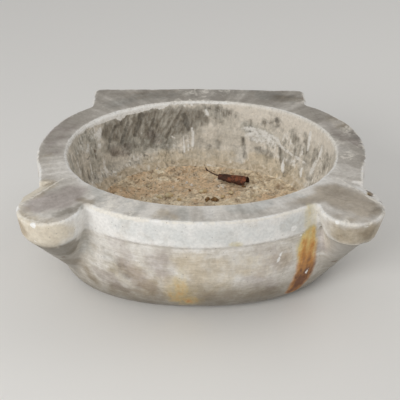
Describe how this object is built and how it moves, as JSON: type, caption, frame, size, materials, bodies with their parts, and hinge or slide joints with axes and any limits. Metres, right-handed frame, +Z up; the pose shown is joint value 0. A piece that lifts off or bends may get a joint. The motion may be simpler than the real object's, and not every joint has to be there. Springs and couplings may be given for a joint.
{
  "type": "holy water stoup",
  "caption": "Carved marble wall stoup: an oval bowl with a flat rim and band, round lugs on corbels at the front corners and a squared back for the wall.",
  "frame": {"origin": "on the flat underside, below the middle of the rim's oval", "axes": "+X to the right of someone facing the stoup, +Y towards the wall, +Z up"},
  "size_m": [0.6, 0.5129, 0.222],
  "materials": {
    "marble": "weathered grey-white marble, smooth rim, rust and lime stains",
    "rusted_iron": "rough dark rust",
    "silt_crust": "dull caked silt and lime, tan and orange-brown",
    "dead_leaf": "dry brittle red-brown leaf",
    "bark": "rough dark brown bark",
    "pebble": "dull worn lumps, ochre to olive",
    "marble_chip": "fresh white break",
    "shell": "chalky bleached shell"
  },
  "bodies": {
    "root": {"basin": "marble", "iron_stub": "rusted_iron", "bowl_crust": "silt_crust", "dry_leaf": "dead_leaf", "bark_bits": "bark", "pebbles": "pebble", "marble_chips": "marble_chip", "snail_shell": "shell"}
  },
  "joints": []
}
